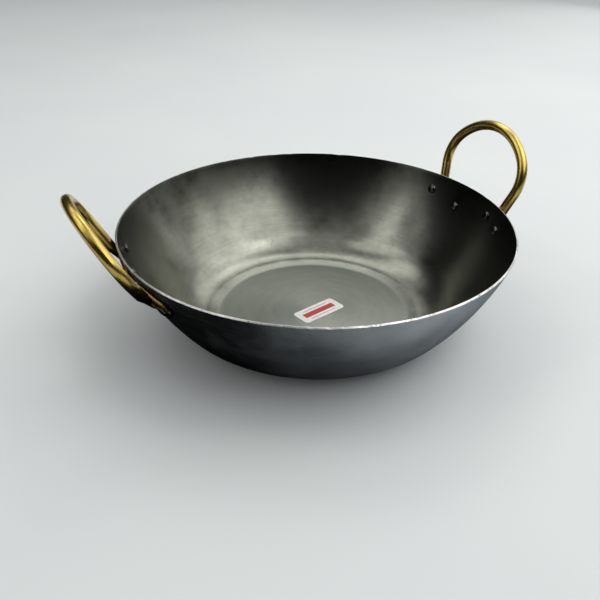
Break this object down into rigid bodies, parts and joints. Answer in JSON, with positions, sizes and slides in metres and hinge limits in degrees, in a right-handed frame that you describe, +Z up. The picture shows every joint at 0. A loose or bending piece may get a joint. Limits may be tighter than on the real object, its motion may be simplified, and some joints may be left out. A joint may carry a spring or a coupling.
{
  "type": "kadai",
  "caption": "Deep round iron pan with a flat base, sloping wall and two upright brass loop handles riveted on.",
  "frame": {"origin": "middle of the base's underside", "axes": "+Z up through the middle of the bowl, the two handles on +X (right) and -X (left)"},
  "size_m": [0.3535, 0.2998, 0.1357],
  "materials": {
    "iron_sheet": "spun, oiled",
    "brass_bar": "worn polish",
    "rivet_iron": "dark",
    "paper_label": "matt"
  },
  "bodies": {
    "root": {"bowl": "iron_sheet", "handle_left": "brass_bar", "handle_right": "brass_bar", "label": "paper_label", "rivet_left_1": "rivet_iron", "rivet_left_2": "rivet_iron", "rivet_left_3": "rivet_iron", "rivet_left_4": "rivet_iron", "rivet_right_1": "rivet_iron", "rivet_right_2": "rivet_iron", "rivet_right_3": "rivet_iron", "rivet_right_4": "rivet_iron"}
  },
  "joints": []
}
